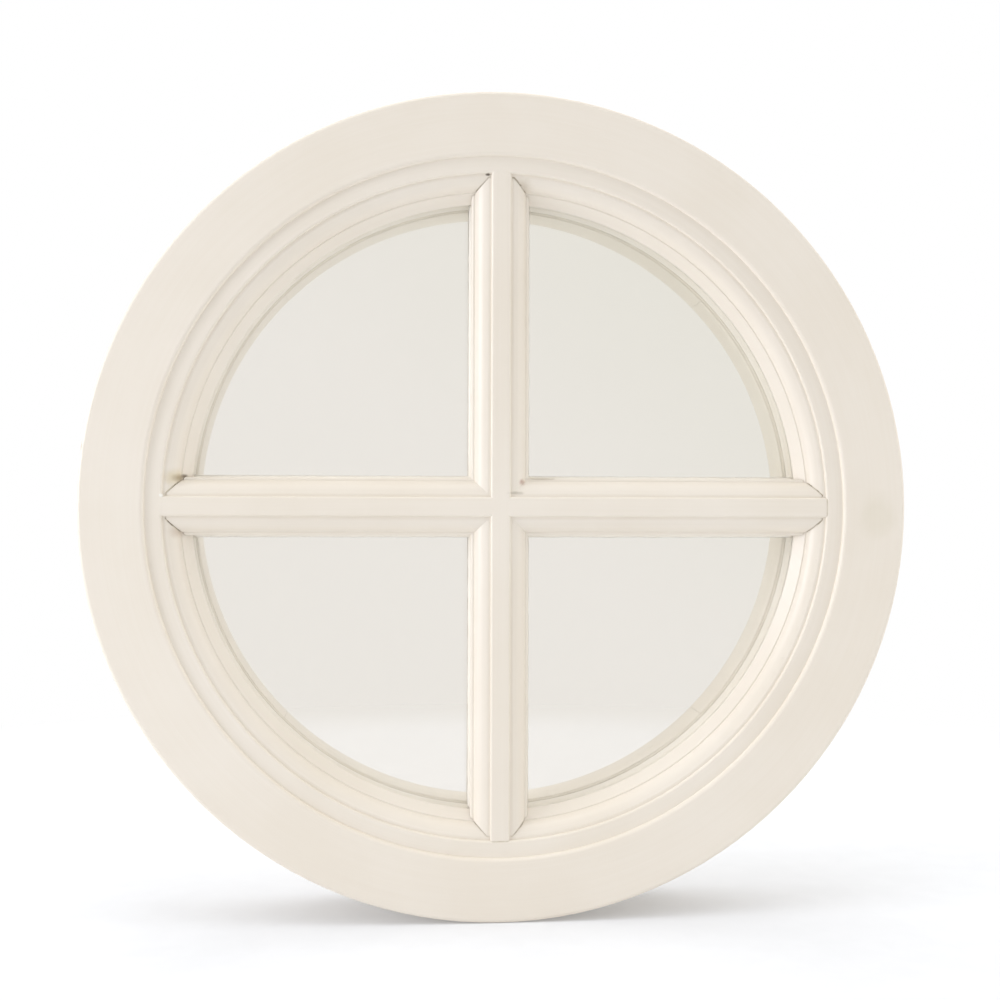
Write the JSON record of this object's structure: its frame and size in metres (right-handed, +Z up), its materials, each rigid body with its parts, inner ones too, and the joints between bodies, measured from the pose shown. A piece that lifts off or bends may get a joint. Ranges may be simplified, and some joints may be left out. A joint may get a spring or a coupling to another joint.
{
  "type": "round window",
  "caption": "Round fixed timber window with a moulded, cream painted ring frame, sealed double glazing and a cross of moulded glazing bars on both faces of the glass, backed by bars in the cavity.",
  "frame": {"origin": "middle of the ring, half way through its depth", "axes": "+Y runs from the outside face to the inside face along the ring's axis, +Z is up, +X is to the right seen from outside"},
  "size_m": [0.6, 0.09, 0.6],
  "materials": {
    "cream_paint": "hardwood under a smooth satin coat of warm cream paint",
    "clear_glass": "clear float glass",
    "spacer_metal": "pale cream lacquer",
    "dark_sealant": "matt black cured sealant",
    "pale_tape": "matt off-white closed-cell foam",
    "block_plastic": "matt moulded plastic",
    "pin_steel": "bright drawn wire"
  },
  "bodies": {
    "root": {"frame_ring": "cream_paint", "outer_pane": "clear_glass", "inner_pane": "clear_glass", "spacer_ring": "spacer_metal", "edge_seal": "dark_sealant", "front_glazing_tape": "pale_tape", "rear_glazing_tape": "pale_tape", "setting_blocks": "block_plastic", "location_blocks": "block_plastic", "top_bead": "cream_paint", "right_bead": "cream_paint", "bottom_bead": "cream_paint", "left_bead": "cream_paint", "bead_pins": "pin_steel", "front_upright_bar": "cream_paint", "front_left_bar": "cream_paint", "front_right_bar": "cream_paint", "front_bar_tape": "pale_tape", "cavity_upright_bar": "spacer_metal", "cavity_left_bar": "spacer_metal", "cavity_right_bar": "spacer_metal", "rear_upright_bar": "cream_paint", "rear_left_bar": "cream_paint", "rear_right_bar": "cream_paint", "rear_bar_tape": "pale_tape"}
  },
  "joints": []
}
